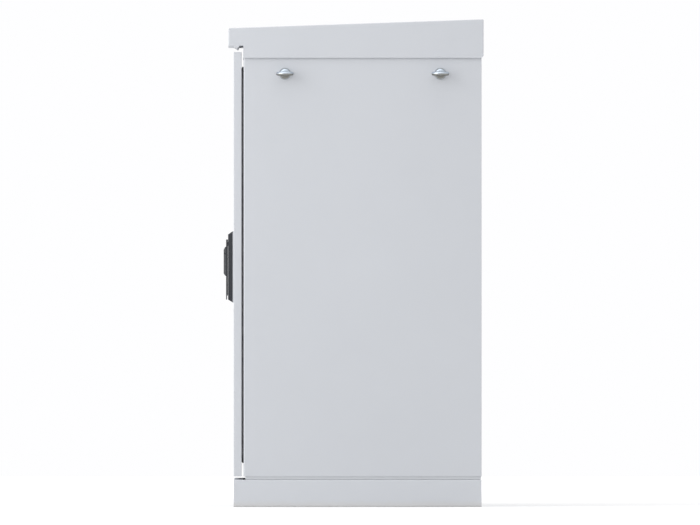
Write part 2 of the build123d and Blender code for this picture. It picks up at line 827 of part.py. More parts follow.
# Hinges: leaves welded to the body's and the door's left side, with the pin fixed in the body's knuckle
hinge_x = -half_width - hinge_axis_out
hinge_y = (door_back_y + body_front_y) / 2
leaf_x = (-half_width - hinge_leaf, -half_width)
clear = knuckle_radius + knuckle_gap
hinge_levels = (hinge_end_distance, door_height / 2, door_height - hinge_end_distance)
body_leaves, door_leaves, hinge_pins = [], [], []
for level in hinge_levels:
    z0 = door_bottom_z + level
    z1 = z0 + knuckle_height
    z2 = z1 + knuckle_gap
    z3 = z2 + knuckle_height
    leaf = bar_z(knuckle_radius, z0, z1, hinge_x, hinge_y)
    leaf += block(*leaf_x, hinge_y, hinge_y + clear, z0, z1)
    leaf += block(*leaf_x, hinge_y + clear, hinge_y + clear + hinge_leaf_reach, z0, z3)
    leaf -= bar_z(hinge_pin_radius, z0 - past, z1 + past, hinge_x, hinge_y)
    body_leaves.append(leaf)
    swing = bar_z(knuckle_radius, z2, z3, hinge_x, hinge_y)
    swing += block(*leaf_x, hinge_y - clear, hinge_y, z2, z3)
    swing += block(*leaf_x, front_y + sheet, hinge_y - clear, z0, z3)
    swing -= bar_z(hinge_pin_radius + hinge_pin_fit, z2 - past, z3 + past, hinge_x, hinge_y)
    door_leaves.append(swing)
    head_z = z3 + contact
    hinge_pins.append(
        bar_z(hinge_pin_radius, z0, head_z, hinge_x, hinge_y)
        + bar_z(knuckle_radius, head_z, head_z + hinge_head, hinge_x, hinge_y)
    )
save("hinge_body_leaves", *body_leaves)
save("hinge_door_leaves", *door_leaves)
save("hinge_pins", *hinge_pins)

# Handle dish on its gasket, with a round pocket for the lever's pivot and a recess for the fingers
dish_half = dish_width / 2
gasket_y = (proud(gasket_proud), front_y)
dish = prism_x(
    [
        (proud(gasket_proud), dish_bottom_z),
        (proud(dish_proud), dish_bottom_z + dish_bottom_slope),
        (proud(dish_proud), dish_top_z - dish_top_slope),
        (proud(gasket_proud), dish_top_z),
    ],
    handle_x - dish_half, handle_x + dish_half,
)
dish = fillet(
    dish.edges().filter_by(lambda edge: edge.center().Y < proud(gasket_proud + past)), dish_edge_radius
)
dish -= bar_y(pocket_radius, proud(dish_proud + past), proud(pocket_floor), handle_x, spindle_z)
recess_z = dish_bottom_z + finger_recess_bottom
dish -= block(
    handle_x - finger_recess_width / 2, handle_x + finger_recess_width / 2,
    proud(dish_proud + past), proud(pocket_floor), recess_z, recess_z + finger_recess_height,
)
dish_hole_y = (proud(dish_proud + past), proud(gasket_proud - past))
dish -= bar_y(spindle_journal_radius + running_fit, *dish_hole_y, handle_x, spindle_z)
dish -= bar_y(cylinder_radius + contact, *dish_hole_y, handle_x, cylinder_z)
gasket = block(handle_x - dish_half, handle_x + dish_half, *gasket_y, dish_bottom_z, dish_top_z)
gasket_hole_y = (proud(gasket_proud + past), front_y + past)
gasket -= bar_y(spindle_hole, *gasket_hole_y, handle_x, spindle_z)
gasket -= bar_y(cylinder_radius + contact, *gasket_hole_y, handle_x, cylinder_z)
handle_screws = []
for z in handle_screw_levels:
    tip_y = proud(gasket_proud + handle_screw_depth)
    dish -= bar_y(handle_screw_radius, tip_y, proud(gasket_proud - past), handle_x, z)
    gasket -= bar_y(handle_screw_radius + contact, *gasket_hole_y, handle_x, z)
    handle_screws.append(
        bar_y(handle_screw_radius, tip_y, inside_y, handle_x, z)
        + bar_y(
            handle_screw_radius * screw_head_ratio, inside_y, inside_y + plate_screw_head_height, handle_x, z
        )
    )
save("handle_dish", dish)
save("handle_gasket", gasket)
save("handle_screws", *handle_screws)

# Lock cylinder in the dish, and the plug that the key turns, with its locking cam
cylinder_front_y = proud(dish_proud - cylinder_recess)
cylinder_back_y = cylinder_front_y + cylinder_length
cylinder = bar_y(cylinder_radius, cylinder_front_y, cylinder_back_y, handle_x, cylinder_z)
cylinder -= bar_y(
    plug_radius + running_fit, cylinder_front_y - past, cylinder_back_y + past, handle_x, cylinder_z
)
cam_y = cylinder_back_y + contact
plug = bar_y(plug_radius, cylinder_front_y, cam_y, handle_x, cylinder_z)
slot_width, slot_height, slot_depth = key_slot
plug -= block(
    handle_x - slot_width / 2, handle_x + slot_width / 2, cylinder_front_y - past,
    cylinder_front_y + slot_depth, cylinder_z - slot_height / 2, cylinder_z + slot_height / 2,
)
plug += bar_y(plug_end_radius, cam_y, cam_y + cam_thickness, handle_x, cylinder_z)
plug += block(
    handle_x - cam_width / 2, handle_x + cam_width / 2, cam_y, cam_y + cam_thickness,
    cylinder_z, cylinder_z + cam_length,
)
save("lock_cylinder", cylinder)
save("lock_plug", plug)

# Spindle: round journal in the dish, a head with the lever's pivot pin, and a square shank
pivot_y = proud(lever_pivot_proud)
journal_y = (proud(pocket_floor + contact), inside_y)
lug_outer = spindle_head_half + contact + lever_lug
square_half = spindle_square / 2
case_y = (door_back_y, rod_y[1] + case_side_gap + case_wall)
spindle = bar_y(spindle_journal_radius, *journal_y, handle_x, spindle_z)
spindle += bar_y(spindle_flange_radius, journal_y[0] - spindle_flange, journal_y[0], handle_x, spindle_z)
spindle += block(
    handle_x - spindle_head_half, handle_x + spindle_head_half, pivot_y, journal_y[0],
    spindle_z - spindle_head_radius, spindle_z + spindle_head_radius,
)
spindle += bar_x(
    spindle_head_radius, handle_x - spindle_head_half, handle_x + spindle_head_half, pivot_y, spindle_z
)
spindle += bar_x(lever_pin_radius, handle_x - lug_outer, handle_x + lug_outer, pivot_y, spindle_z)
spindle += block(
    handle_x - square_half, handle_x + square_half, inside_y, case_y[1] - contact,
    spindle_z - square_half, spindle_z + square_half,
)
save("handle_spindle", spindle)

# Lever: a hollow shell that lies over the dish, with a thin tip that the fingers go behind
lever_half = lever_width / 2
lever_back = dish_proud + lever_gap
plate_back = lever_proud - lever_plate
lever_bottom_z = dish_bottom_z + lever_tip_above_dish
wall_bottom_z = lever_bottom_z + lever_tip_length


def lever_outline(inset, bottom_z, outer, inner):
    """The lever's plan, a strip with a round top, between two distances out from the door."""
    radius = lever_half - inset
    y = (proud(outer), proud(inner))
    strip = block(handle_x - radius, handle_x + radius, *y, bottom_z, spindle_z)
    return strip + bar_y(radius, *y, handle_x, spindle_z)


lever = lever_outline(0, lever_bottom_z, lever_proud, plate_back)
lever += lever_outline(0, wall_bottom_z, plate_back, lever_back) - lever_outline(
    lever_wall, wall_bottom_z + lever_wall, plate_back, lever_back
)

# The bulge over the lock cylinder: its lower part belongs to the lever and its front is the swinging cover
bulge_top_z = spindle_z - bulge_top_below_spindle
bulge_bottom_z = bulge_top_z - bulge_height
bulge_rise = bulge_proud - lever_proud
bend_y = proud(lever_proud + bulge_bend_out * bulge_rise)
upper_bend = (bend_y, bulge_top_z - bulge_bend_up * bulge_top_curve)
lower_bend = (bend_y, bulge_bottom_z + bulge_bend_up * bulge_bottom_curve)
cover_top_z = bulge_top_z - bulge_top_curve
cover_bottom_z = bulge_bottom_z + bulge_bottom_curve
bulge_outline = make_face(
    [
        ThreePointArc((proud(lever_proud), bulge_top_z), upper_bend, (proud(bulge_proud), cover_top_z)),
        Line((proud(bulge_proud), cover_top_z), (proud(bulge_proud), cover_bottom_z)),
        ThreePointArc(
            (proud(bulge_proud), cover_bottom_z), lower_bend, (proud(lever_proud), bulge_bottom_z)
        ),
        Line((proud(lever_proud), bulge_bottom_z), (proud(lever_proud), bulge_top_z)),
    ]
)
bulge_half = bulge_width / 2
bulge = extrude(Plane.YZ.offset(handle_x - bulge_half) * bulge_outline, bulge_width)
split_y = proud(bulge_split)
bulge_x = (handle_x - lever_half, handle_x + lever_half)
lever += bulge & block(*bulge_x, split_y, proud(lever_proud), bulge_bottom_z - past, bulge_top_z + past)
lug_y = (proud(plate_back), pivot_y)
for lug_x in ((handle_x - lug_outer, handle_x - lug_outer + lever_lug),
              (handle_x + lug_outer - lever_lug, handle_x + lug_outer)):
    lug = block(*lug_x, *lug_y, spindle_z - lever_lug_radius, spindle_z + lever_lug_radius)
    lug += bar_x(lever_lug_radius, *lug_x, pivot_y, spindle_z)
    lever += lug - bar_x(
        lever_pin_radius + running_fit, lug_x[0] - past, lug_x[1] + past, pivot_y, spindle_z
    )
key_hole_y = (proud(bulge_proud), proud(lever_back))
lever -= bar_y(key_hole_radius, *key_hole_y, handle_x, cylinder_z)
cover_pin_z = cover_top_z - cover_pin_below_top
lever -= bar_y(
    lever_pin_radius + running_fit, split_y - past, proud(lever_proud - 2 * cover_pin_end_gap),
    handle_x, cover_pin_z,
)
cover_y = split_y - contact
cover = bulge & block(*bulge_x, proud(bulge_proud), cover_y, bulge_bottom_z, bulge_top_z)
cover += bar_y(lever_pin_radius, cover_y, proud(lever_proud - cover_pin_end_gap), handle_x, cover_pin_z)
save("handle_lever", lever)
save("cylinder_cover", cover)

# Lock case behind the door, with a pinion on the spindle between the two racks
case_half = rod_outer + case_side_gap
case_x = (handle_x - case_half, handle_x + case_half)
case_z = (spindle_z - case_half_height, spindle_z + case_half_height)
case = block(*case_x, *case_y, *case_z)
case -= block(
    case_x[0] + case_wall, case_x[1] - case_wall, case_y[0] + case_wall, case_y[1] + past,
    case_z[0] + case_wall, case_z[1] - case_wall,
)
slot_y = (rod_y[0] - rod_slot_gap, rod_y[1] + rod_slot_gap)
case -= block(
    upper_rod_x[0] - rod_slot_gap, upper_rod_x[1] + rod_slot_gap, *slot_y, spindle_z, case_z[1] + past
)
case -= block(
    lower_rod_x[0] - rod_slot_gap, lower_rod_x[1] + rod_slot_gap, *slot_y, case_z[0] - past, spindle_z
)
case -= bar_y(spindle_journal_radius, case_y[0] - past, case_y[0] + case_wall + past, handle_x, spindle_z)
save("lock_case", case)
save("lock_case_cover", block(*case_x, case_y[1], case_y[1] + case_wall, *case_z))


def involute(angle):
    """The involute function."""
    return math.tan(angle) - angle


def pinion_points():
    """Outline of the pinion, with one tooth pointing along +X."""
    base = pitch_radius * math.cos(pressure_angle)
    tip = pitch_radius + gear_module
    root = pitch_radius - rack_root
    half_tooth = (math.pi * gear_module - gear_backlash) / (4 * pitch_radius)
    steps = 4
    flank = []
    for step in range(steps + 1):
        radius = base + (tip - base) * step / steps
        spread = half_tooth + involute(pressure_angle) - involute(math.acos(base / radius))
        flank.append((radius, spread))
    tooth = [(root, -flank[0][1])] + [(r, -a) for r, a in flank]
    tooth += [(r, a) for r, a in reversed(flank)] + [(root, flank[0][1])]
    points = []
    for number in range(gear_teeth):
        turn = 2 * math.pi * number / gear_teeth
        points += [
            (handle_x + r * math.cos(a + turn), spindle_z + r * math.sin(a + turn)) for r, a in tooth
        ]
    return points


gear_y = ((rod_y[0] + rod_y[1] - gear_width) / 2, (rod_y[0] + rod_y[1] + gear_width) / 2)
pinion = prism_y(pinion_points(), *gear_y)
hub_y = (case_y[0] + case_wall + contact, case_y[1] - contact)
pinion += bar_y(hub_radius, *hub_y, handle_x, spindle_z)
bore_half = square_half + running_fit
pinion -= block(
    handle_x - bore_half, handle_x + bore_half, hub_y[0] - past, hub_y[1] + past,
    spindle_z - bore_half, spindle_z + bore_half,
)
save("lock_pinion", pinion)


def lock_rod(side, tip_z):
    """A flat rod with rack teeth beside the pinion. side is +1 for the upper rod and -1 for the lower one."""
    pitch = math.pi * gear_module
    half_pitch_tooth = (pitch - gear_backlash) / 4
    slope = math.tan(pressure_angle)
    half_tip = half_pitch_tooth - rack_addendum * slope
    half_root = half_pitch_tooth + rack_root * slope
    tooth_count = math.ceil(rod_travel / pitch) + 4
    start = -rack_teeth_before * pitch
    outline = [(rod_outer, start), (rod_inner, start)]
    for number in range(tooth_count):
        middle = (number + 1 - rack_teeth_before) * pitch
        outline += [
            (rod_inner, middle - half_root), (pitch_radius - rack_addendum, middle - half_tip),
            (pitch_radius - rack_addendum, middle + half_tip), (rod_inner, middle + half_root),
        ]
    reach = abs(tip_z - spindle_z)
    outline += [(rod_inner, reach), (rod_outer, reach)]
    return prism_y([(handle_x + side * u, spindle_z + side * w) for u, w in outline], *rod_y)


save("lock_rod_upper", lock_rod(1, opening_top_z - rod_tip_gap))
save("lock_rod_lower", lock_rod(-1, opening_bottom_z + rod_tip_gap))

# Rod guides on the stiffener
guides = []
upper_reach = opening_top_z - case_z[1]
lower_reach = case_z[0] - opening_bottom_z
guide_spots = [(upper_rod_x, case_z[1] + place * upper_reach) for place in guide_places]
guide_spots += [(lower_rod_x, case_z[0] - place * lower_reach) for place in guide_places]
for rod_x, z in guide_spots:
    guide = block(
        rod_x[0] - guide_wall, rod_x[1] + guide_wall, door_back_y, rod_y[1] + guide_wall,
        z - guide_height / 2, z + guide_height / 2,
    )
    guide -= block(
        rod_x[0] - rod_slot_gap, rod_x[1] + rod_slot_gap, *slot_y, z - guide_height, z + guide_height
    )
    guides.append(guide)
save("rod_guides", *guides)
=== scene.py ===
# %% [markdown]
# # Roadside utility cabinet
# The cabinet stands beside a road or a railway and keeps telecom or power equipment dry.
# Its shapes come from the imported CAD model, which is loaded as a fixed frame in metres: X runs to the
# right of someone who faces the door, the door faces -Y and Z is up. The looks are added round that frame.

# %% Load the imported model
import json
import math

import bmesh
import bpy
from mathutils import Matrix, Vector

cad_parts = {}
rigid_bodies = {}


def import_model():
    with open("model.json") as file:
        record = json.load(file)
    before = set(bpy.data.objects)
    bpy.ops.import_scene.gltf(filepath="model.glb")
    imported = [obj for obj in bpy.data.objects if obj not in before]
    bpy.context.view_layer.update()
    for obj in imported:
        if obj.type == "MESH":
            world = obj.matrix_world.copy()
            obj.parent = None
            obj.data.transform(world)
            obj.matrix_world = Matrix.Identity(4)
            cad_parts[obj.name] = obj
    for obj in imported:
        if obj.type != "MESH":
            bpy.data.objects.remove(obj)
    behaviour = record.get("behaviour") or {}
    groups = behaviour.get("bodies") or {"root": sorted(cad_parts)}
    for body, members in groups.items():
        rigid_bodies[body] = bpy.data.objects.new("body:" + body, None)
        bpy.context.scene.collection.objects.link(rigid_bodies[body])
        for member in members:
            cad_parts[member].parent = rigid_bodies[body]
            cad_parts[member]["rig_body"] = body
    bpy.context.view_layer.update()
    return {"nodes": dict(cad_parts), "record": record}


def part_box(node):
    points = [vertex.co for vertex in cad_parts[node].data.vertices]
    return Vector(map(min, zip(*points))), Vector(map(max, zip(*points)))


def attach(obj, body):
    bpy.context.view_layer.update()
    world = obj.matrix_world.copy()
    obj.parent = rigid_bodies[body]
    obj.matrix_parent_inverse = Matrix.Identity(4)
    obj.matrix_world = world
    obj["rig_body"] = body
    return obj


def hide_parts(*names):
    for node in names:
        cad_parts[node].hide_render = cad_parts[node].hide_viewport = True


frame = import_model()
nodes = frame["nodes"]

# %% [markdown]
# ## Colour and pattern size
# Colours are written as sRGB hex codes, as a paint chart gives them, and shaders want linear values.
# Patterns are sized by a real distance in millimetres, and the nodes want repeats in a metre.

# %% Colour and pattern size
MM = 0.001


def linear(code):
    """The linear red, green, blue and alpha of an sRGB colour such as #CED1D6."""
    parts = [int(code[i:i + 2], 16) / 255 for i in (1, 3, 5)]
    return [p / 12.92 if p <= 0.04045 else ((p + 0.055) / 1.055) ** 2.4 for p in parts] + [1]


def repeats(size_mm):
    """A pattern's scale for details of this size in millimetres."""
    return 1000 / size_mm


print("mid grey in linear values:", round(linear("#808080")[0], 3))

# %% [markdown]
# ## Shader nodes
# A material could be built by hand in the shader editor. In a script, one function adds a node, sets it up
# and links it, so that a material reads from top to bottom. Another starts every material with the same
# three nodes: the shader, the output, and the Object coordinates that stay put on a piece as it moves.

# %% Shader nodes
def add(tree, kind, inputs=None, **settings):
    """Adds a shader node. An input is a number, a colour or the socket that it is linked to."""
    made = tree.nodes.new("ShaderNode" + kind)
    for name, value in settings.items():
        setattr(made, name, value)
    for name, value in (inputs or {}).items():
        if isinstance(value, bpy.types.NodeSocket):
            tree.links.new(value, made.inputs[name])
        else:
            made.inputs[name].default_value = value
    return made


def start_material(name, **constants):
    """A material whose shader has its constants set. Patterns are linked to it afterwards."""
    material = bpy.data.materials.new(name)
    material.use_nodes = True
    tree = material.node_tree
    tree.nodes.clear()
    sockets = {key.replace("_", " "): value for key, value in constants.items()}
    shader = add(tree, "BsdfPrincipled", sockets)
    add(tree, "OutputMaterial", {"Surface": shader.outputs[0]})
    place = add(tree, "TexCoord").outputs["Object"]
    return material, tree, shader, place


def drive(tree, shader, **patterns):
    """Links patterns to the shader's sockets."""
    for key, socket in patterns.items():
        tree.links.new(socket, shader.inputs[key.replace("_", " ")])

# %% [markdown]
# ## Powder coat
# The panels, hood, door and plinth are zinc-coated steel sheet with a baked polyester powder coat in light
# grey. The powder melts and flows, which leaves an orange peel of a few millimetres and a fine grain of well
# under one. Both are bump only, because the coat is one even colour. To the eye that gives a satin surface
# with soft, slightly broken highlights. A very faint cloud keeps a large panel from looking like plain
# plastic. The grain is drawn at 0.9 mm, about twice its real size, so that it shows at all.
# A cut edge could be bevelled in the mesh, but the CAD meshes stay as they are, so a Bevel node rounds the
# shading at the edges instead. The plinth's edges are folds and get a wider one. The inner frame's coat is a
# little darker than the panels'.

# %% Powder coat
CUT_EDGE, BENT_EDGE = 0.5, 1.5
EDGE_SAMPLES = 4
CLOUD, ORANGE_PEEL, POWDER_GRAIN = 280, 3.2, 0.9


def powder_coat(name, colour, shadow_colour, edge_mm=CUT_EDGE):
    """Baked polyester powder on steel: satin, with an orange peel and a fine grain."""
    material, tree, shader, place = start_material(name, IOR=1.5)
    cloud = add(tree, "TexNoise", {"Vector": place, "Scale": repeats(CLOUD), "Detail": 3}).outputs[0]
    peel = add(tree, "TexNoise", {"Vector": place, "Scale": repeats(ORANGE_PEEL), "Detail": 1}).outputs[0]
    grain = add(tree, "TexNoise", {"Vector": place, "Scale": repeats(POWDER_GRAIN), "Detail": 2}).outputs[0]
    tint = add(tree, "Mix", {0: cloud, 6: linear(shadow_colour), 7: linear(colour)}, data_type="RGBA")
    satin = add(tree, "MapRange", {"Value": grain, "To Min": 0.40, "To Max": 0.52})
    edge = add(tree, "Bevel", {"Radius": edge_mm * MM}, samples=EDGE_SAMPLES).outputs[0]
    wave = add(tree, "Bump", {"Height": peel, "Strength": 0.25, "Distance": 0.03 * MM, "Normal": edge})
    fine = add(tree, "Bump", {
        "Height": grain, "Strength": 0.35, "Distance": 0.02 * MM, "Normal": wave.outputs[0],
    })
    drive(tree, shader, Base_Color=tint.outputs[2], Roughness=satin.outputs[0], Normal=fine.outputs[0])
    return material


panel_coat = powder_coat("powder_coat_light_grey", "#CDD0D5", "#C9CCD1")
frame_coat = powder_coat("powder_coat_frame", "#C9CCD0", "#C4C7CB")
print("powder coats:", panel_coat.name, frame_coat.name)

# %% [markdown]
# ## Plinth coat with painted bounce light
# The plinth has the same coat, with a painted warm tint on its lowest centimetres for the light that the
# floor bounces onto the foot. The tint could be a second layer with a mask painted by hand. A gradient
# along Z needs no painting, and a noise breaks it up so that it doesn't end in a straight line. To the eye
# the foot gets a little warmer and duller.

# %% Plinth coat with painted bounce light
# The painted bounce tint reaches 12 to 28 mm up the foot, with a ragged top.
BOUNCE_NOISE = 18
BOUNCE_SPREAD, BOUNCE_LEAST = 0.016, 0.012


def plinth_powder(name):
    """The panels' coat with a painted warm tint at the foot, for light bounced from the floor."""
    material = powder_coat(name, "#CFD2D7", "#CBCED3", edge_mm=BENT_EDGE)
    tree = material.node_tree
    shader = next(n for n in tree.nodes if n.type == "BSDF_PRINCIPLED")
    place = next(n for n in tree.nodes if n.type == "TEX_COORD").outputs["Object"]
    painted_light_input = shader.inputs["Base Color"].links[0].from_socket
    height = add(tree, "SeparateXYZ", {"Vector": place}).outputs["Z"]
    bounce_ragged = add(tree, "TexNoise", {"Vector": place, "Scale": repeats(BOUNCE_NOISE), "Detail": 4}).outputs[0]
    reach = add(tree, "Math", {0: bounce_ragged, 1: BOUNCE_SPREAD, 2: BOUNCE_LEAST}, operation="MULTIPLY_ADD")
    # Painted bounce light: the coat turns warmer and duller towards the floor.
    painted_bounce_share = add(tree, "MapRange", {
        "Value": height, "From Min": 0, "From Max": reach.outputs[0], "To Min": 0.8, "To Max": 0,
    })
    painted_bounce_tint = add(tree, "Mix", {0: painted_bounce_share.outputs[0], 6: painted_light_input, 7: linear("#CBCAC8")}, data_type="RGBA")
    drive(tree, shader, Base_Color=painted_bounce_tint.outputs[2])
    return material


plinth_coat = plinth_powder("powder_coat_plinth")
print("plinth coat nodes:", len(plinth_coat.node_tree.nodes))

# %% [markdown]
# ## Galvanised sheet
# Inside, the uprights and plates are hot-dip galvanised steel. As the zinc sets it grows into crystals, the
# spangle, which show as patches of about a centimetre that differ a little in brightness and gloss. A
# Voronoi pattern has such cells, and a small noise bends their borders so that they don't look ruled.

# %% Galvanised sheet
SPANGLE, SPANGLE_WOBBLE, WOBBLE_SHARE = 11, 9, 0.004


def galvanised_sheet(name):
    """Hot-dip galvanised steel with its spangle."""
    material, tree, shader, place = start_material(name, Metallic=0.9)
    wobble = add(tree, "TexNoise", {"Vector": place, "Scale": repeats(SPANGLE_WOBBLE), "Detail": 2})
    bent = add(tree, "Mix", {0: WOBBLE_SHARE, 4: place, 5: wobble.outputs[1]}, data_type="VECTOR").outputs[1]
    cells = add(tree, "TexVoronoi", {"Vector": bent, "Scale": repeats(SPANGLE)}).outputs["Color"]
    tone = add(tree, "SeparateColor", {"Color": cells}).outputs[0]
    tint = add(tree, "Mix", {0: tone, 6: linear("#B3B7BB"), 7: linear("#C6C9CB")}, data_type="RGBA")
    gloss = add(tree, "MapRange", {"Value": tone, "To Min": 0.4, "To Max": 0.5})
    edge = add(tree, "Bevel", {"Radius": CUT_EDGE * MM}, samples=EDGE_SAMPLES).outputs[0]
    bump = add(tree, "Bump", {"Height": tone, "Strength": 0.15, "Distance": 0.02 * MM, "Normal": edge})
    drive(tree, shader, Base_Color=tint.outputs[2], Roughness=gloss.outputs[0], Normal=bump.outputs[0])
    return material


galvanised = galvanised_sheet("galvanised_steel")
print("spangle in repeats a metre:", round(repeats(SPANGLE)))

# %% [markdown]
# ## Zinc plate
# Bolts, rods and the lifting eyes are turned or forged steel with electroplated zinc. It is brighter and
# smoother than galvanising, with tiny marks from tumbling in a barrel. Its colour carries a painted
# reflection: the direction that the surface faces, with random patches on top, mixes a bright bluish zinc
# on upper sides, for the sky that they mirror, and a dark warm zinc on undersides, for the ground. The
# marks are drawn at 0.8 mm, coarser than they are, so that they show.

# %% Zinc plate
TUMBLE_PATCH, TUMBLE_MARK = 7, 0.8


def zinc_plate(name):
    """Electroplated zinc with a painted reflection: bright and bluish on top, dark and warm underneath."""
    material, tree, shader, place = start_material(name, Metallic=1.0)
    facing = add(tree, "TexCoord").outputs["Normal"]
    upwards = add(tree, "SeparateXYZ", {"Vector": facing}).outputs["Z"]
    patches = add(tree, "TexNoise", {"Vector": place, "Scale": repeats(TUMBLE_PATCH), "Detail": 4}).outputs[0]
    marks = add(tree, "TexNoise", {"Vector": place, "Scale": repeats(TUMBLE_MARK), "Detail": 2}).outputs[0]
    # Painted reflection: upper sides take the bright bluish zinc, undersides the dark warm one.
    painted_light_input = add(tree, "Math", {0: patches, 1: 0.5, 2: upwards}, operation="MULTIPLY_ADD").outputs[0]
    painted_reflection_mix = add(tree, "MapRange", {"Value": painted_light_input, "From Min": -0.1, "From Max": 0.7}).outputs[0]
    tint = add(tree, "Mix", {0: painted_reflection_mix, 6: linear("#868580"), 7: linear("#C3CDD7")}, data_type="RGBA")
    gloss = add(tree, "MapRange", {"Value": patches, "To Min": 0.26, "To Max": 0.42})
    edge = add(tree, "Bevel", {"Radius": CUT_EDGE * MM}, samples=EDGE_SAMPLES).outputs[0]
    bump = add(tree, "Bump", {"Height": marks, "Strength": 0.25, "Distance": 0.03 * MM, "Normal": edge})
    drive(tree, shader, Base_Color=tint.outputs[2], Roughness=gloss.outputs[0], Normal=bump.outputs[0])
    return material


zinc_plated = zinc_plate("zinc_plated_steel")
print("zinc plate:", zinc_plated.name)

# %% [markdown]
# ## Nickel-plated brass
# The lock cylinder is turned brass with a nickel plate, a warm silver with fine rings round its own axis.
# A Wave texture draws rings, and a Mapping node moves its centre to the axis, which is read from the CAD box.

# %% Nickel-plated brass
LATHE_RING = 0.7
WAVE_PER_REPEAT = 20
cylinder_low, cylinder_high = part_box("lock_cylinder")
cylinder_middle = (cylinder_low + cylinder_high) / 2


def nickel_brass(name):
    """Turned brass under nickel, with rings from the lathe."""
    material, tree, shader, place = start_material(name, Metallic=1.0)
    centred = add(tree, "Mapping", {"Vector": place, "Location": -cylinder_middle}).outputs[0]
    wave = {"Vector": centred, "Scale": repeats(LATHE_RING) / WAVE_PER_REPEAT, "Distortion": 0.4}
    rings = add(tree, "TexWave", wave, wave_type="RINGS", rings_direction="Y").outputs[1]
    tint = add(tree, "Mix", {0: rings, 6: linear("#BDB8AB"), 7: linear("#D3CFC4")}, data_type="RGBA")
    gloss = add(tree, "MapRange", {"Value": rings, "To Min": 0.2, "To Max": 0.34})
    drive(tree, shader, Base_Color=tint.outputs[2], Roughness=gloss.outputs[0])
    return material


lock_brass = nickel_brass("nickel_plated_brass")
print("lock cylinder's middle in mm:", [round(v / MM) for v in cylinder_middle])

# %% [markdown]
# ## Drawn copper
# The earth bar is drawn copper. Its die leaves long scratches along X and air tarnishes it in broad brown
# patches. One noise is stretched along X for the scratches and a second one, left round, is the tarnish.

# %% Drawn copper
SCRATCH, SCRATCH_STRETCH, TARNISH = 0.9, (0.03, 1, 1), 35


def drawn_copper(name):
    """A copper bar from the drawing die, slightly tarnished."""
    material, tree, shader, place = start_material(name, Metallic=1.0)
    along = add(tree, "Mapping", {"Vector": place, "Scale": SCRATCH_STRETCH}).outputs[0]
    scratches = add(tree, "TexNoise", {"Vector": along, "Scale": repeats(SCRATCH), "Detail": 3}).outputs[0]
    tarnish = add(tree, "TexNoise", {"Vector": place, "Scale": repeats(TARNISH), "Detail": 4}).outputs[0]
    tint = add(tree, "Mix", {0: tarnish, 6: linear("#9C5F42"), 7: linear("#C98A6B")}, data_type="RGBA")
    gloss = add(tree, "MapRange", {"Value": scratches, "To Min": 0.22, "To Max": 0.42})
    edge = add(tree, "Bevel", {"Radius": CUT_EDGE * MM}, samples=EDGE_SAMPLES).outputs[0]
    bump = add(tree, "Bump", {"Height": scratches, "Strength": 0.2, "Distance": 0.02 * MM, "Normal": edge})
    drive(tree, shader, Base_Color=tint.outputs[2], Roughness=gloss.outputs[0], Normal=bump.outputs[0])
    return material


copper = drawn_copper("drawn_copper")
print("copper:", copper.name)

# %% [markdown]
# ## Moulded polyamide
# The swing handle and the cable glands are polyamide. The handle's is filled with glass fibre and moulded in
# a spark-eroded tool, which leaves an even, dull grain of about a quarter of a millimetre, drawn at 0.5 mm
# so that it shows. A faint flow pattern varies the colour, as the fibres do.

# %% Moulded polyamide
FLOW, TOOL_GRAIN = 30, 0.5


def moulded_polyamide(name, colour, worn_colour):
    """Polyamide with the dull grain of its tool."""
    material, tree, shader, place = start_material(name, IOR=1.53, Specular_IOR_Level=0.25)
    flow = add(tree, "TexNoise", {"Vector": place, "Scale": repeats(FLOW), "Detail": 3}).outputs[0]
    grain = add(tree, "TexNoise", {"Vector": place, "Scale": repeats(TOOL_GRAIN), "Detail": 2}).outputs[0]
    tint = add(tree, "Mix", {0: flow, 6: linear(colour), 7: linear(worn_colour)}, data_type="RGBA")
    dull = add(tree, "MapRange", {"Value": grain, "To Min": 0.5, "To Max": 0.66})
    bump = add(tree, "Bump", {"Height": grain, "Strength": 0.4, "Distance": 0.03 * MM})
    drive(tree, shader, Base_Color=tint.outputs[2], Roughness=dull.outputs[0], Normal=bump.outputs[0])
    return material


handle_plastic = moulded_polyamide("polyamide_handle", "#37393D", "#3B3D41")
gland_plastic = moulded_polyamide("polyamide_glands", "#7C8084", "#85898D")
print("polyamides:", handle_plastic.name, gland_plastic.name)

# %% [markdown]
# ## Foam and sponge rubber
# The door seal is polyurethane, foamed in place, and the handle's gasket is sponge rubber. Both are soft,
# pale and quite dull, with pores of about a millimetre. The distance to the nearest Voronoi cell makes the
# pores: low and darker in the middle of a cell, and full height over the rest. The darker colour in the
# pores is painted shade.

# %% Foam and sponge rubber
PORE, PORE_RIM = 1.1, 0.35


def foam(name, colour, pore_painted_shade):
    """Foamed polyurethane or sponge rubber with open pores, painted darker inside as shade."""
    material, tree, shader, place = start_material(name, IOR=1.45, Roughness=0.9)
    pores = add(tree, "TexVoronoi", {"Vector": place, "Scale": repeats(PORE)}).outputs["Distance"]
    skin = add(tree, "MapRange", {"Value": pores, "From Max": PORE_RIM}).outputs[0]
    tint = add(tree, "Mix", {0: skin, 6: linear(pore_painted_shade), 7: linear(colour)}, data_type="RGBA")
    bump = add(tree, "Bump", {"Height": skin, "Strength": 0.5, "Distance": 0.1 * MM})
    drive(tree, shader, Base_Color=tint.outputs[2], Normal=bump.outputs[0])
    return material


# The second colour of each foam is the painted shade in its pores.
seal_foam = foam("polyurethane_foam_seal", "#E6E7E9", "#CFD1D3")
gasket_rubber = foam("sponge_rubber_gasket", "#C4C6C9", "#AEB1B4")
print("foams:", seal_foam.name, gasket_rubber.name)

# %% [markdown]
# ## Finishes on the CAD nodes
# Every CAD node keeps its shape and takes the finish of its slot in the record. A table of slots needs one
# line for each finish instead of one for each node. The gasket and the seal share the record's rubber slot,
# and the seal gets its paler foam later, with its own piece.

